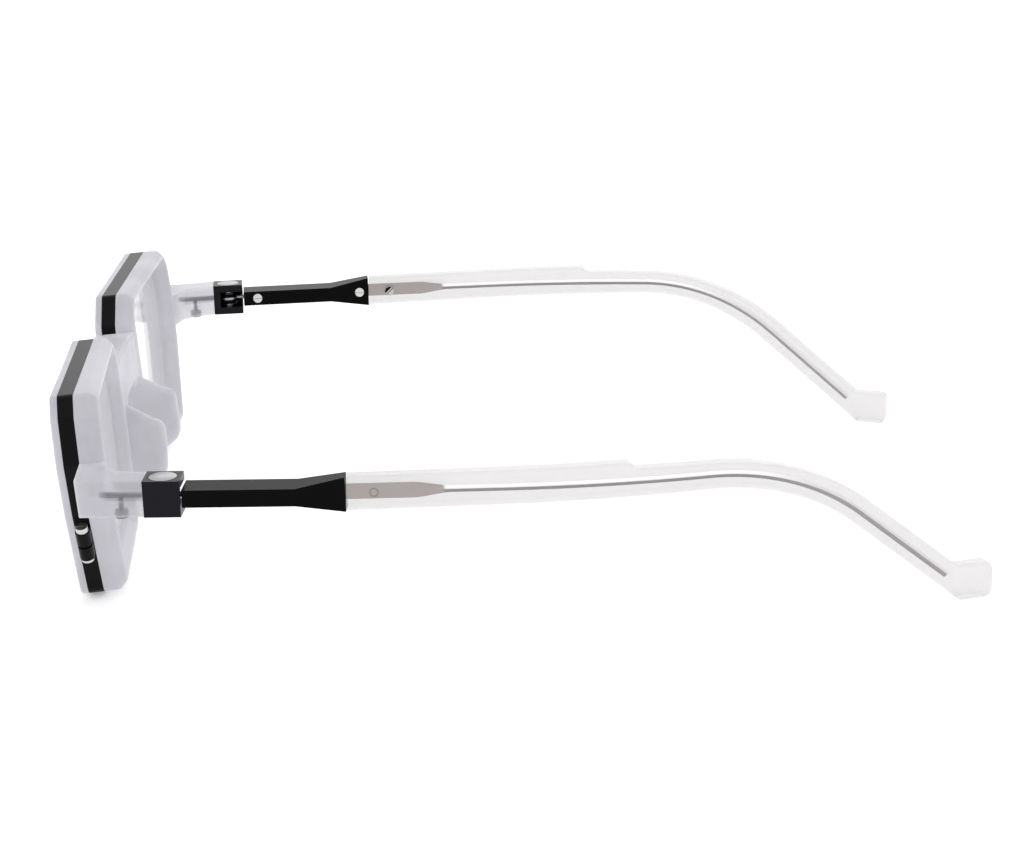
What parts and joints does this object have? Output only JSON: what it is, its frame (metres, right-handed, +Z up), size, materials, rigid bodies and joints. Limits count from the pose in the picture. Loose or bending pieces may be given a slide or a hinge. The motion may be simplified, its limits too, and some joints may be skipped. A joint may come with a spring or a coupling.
{
  "type": "eyeglasses",
  "caption": "Rectangular eyeglasses with a clear crystal front over black metal hoops, cube hinges, spring-loaded black arms and clear temples shot over a metal core.",
  "frame": {"origin": "on the surface the glasses stand on, under the centre of the bounding box, with both temples open", "axes": "+Z up, +X towards the wearer's left, +Y back along the temples, so the front faces -Y"},
  "size_m": [0.1434, 0.1601, 0.0368],
  "materials": {
    "front_crystal": "frosted crystal",
    "temple_crystal": "clear crystal",
    "black_metal": "black satin",
    "steel": "brushed",
    "brass": "satin",
    "core_metal": "satin",
    "lens": "clear"
  },
  "bodies": {
    "front": {"front_plate": "front_crystal", "rear_body": "front_crystal", "left_hoop": "black_metal", "left_lock_barrels": "black_metal", "left_lock_screw": "steel", "left_lock_nut": "steel", "left_lens": "lens", "left_anchor_rod": "steel", "left_anchor_screw": "steel", "left_hinge_block": "black_metal", "left_hinge_screw": "steel", "right_hoop": "black_metal", "right_lock_barrels": "black_metal", "right_lock_screw": "steel", "right_lock_nut": "steel", "right_lens": "lens", "right_anchor_rod": "steel", "right_anchor_screw": "steel", "right_hinge_block": "black_metal", "right_hinge_screw": "steel"},
    "left_rod": {"left_eye_rod": "steel"},
    "left_temple": {"left_arm": "black_metal", "left_spring_sleeve": "brass", "left_spring": "steel", "left_spring_screw": "steel", "left_flare_screw": "steel", "left_core": "core_metal", "left_core_screw": "steel", "left_temple": "temple_crystal"},
    "right_rod": {"right_eye_rod": "steel"},
    "right_temple": {"right_arm": "black_metal", "right_spring_sleeve": "brass", "right_spring": "steel", "right_spring_screw": "steel", "right_flare_screw": "steel", "right_core": "core_metal", "right_core_screw": "steel", "right_temple": "temple_crystal"}
  },
  "joints": [
    {"name": "left_hinge", "type": "hinge", "parent": "front", "child": "left_rod", "pos_m": [0.06716, -0.05882, 0.0235], "axis": [0.0209, -0.0349, 0.9992], "range_deg": [-2, 88]},
    {"name": "left_pull", "type": "slide", "parent": "left_rod", "child": "left_temple", "axis": [0.0697, 0.997, 0.0334], "range_m": [0, 0.0008], "stiffness_N_per_m": 1500, "springref_m": -0.001},
    {"name": "right_hinge", "type": "hinge", "parent": "front", "child": "right_rod", "pos_m": [-0.06716, -0.05882, 0.0235], "axis": [0.0209, 0.0349, -0.9992], "range_deg": [-2, 78]},
    {"name": "right_pull", "type": "slide", "parent": "right_rod", "child": "right_temple", "axis": [-0.0697, 0.997, 0.0334], "range_m": [0, 0.0008], "stiffness_N_per_m": 1500, "springref_m": -0.001}
  ]
}
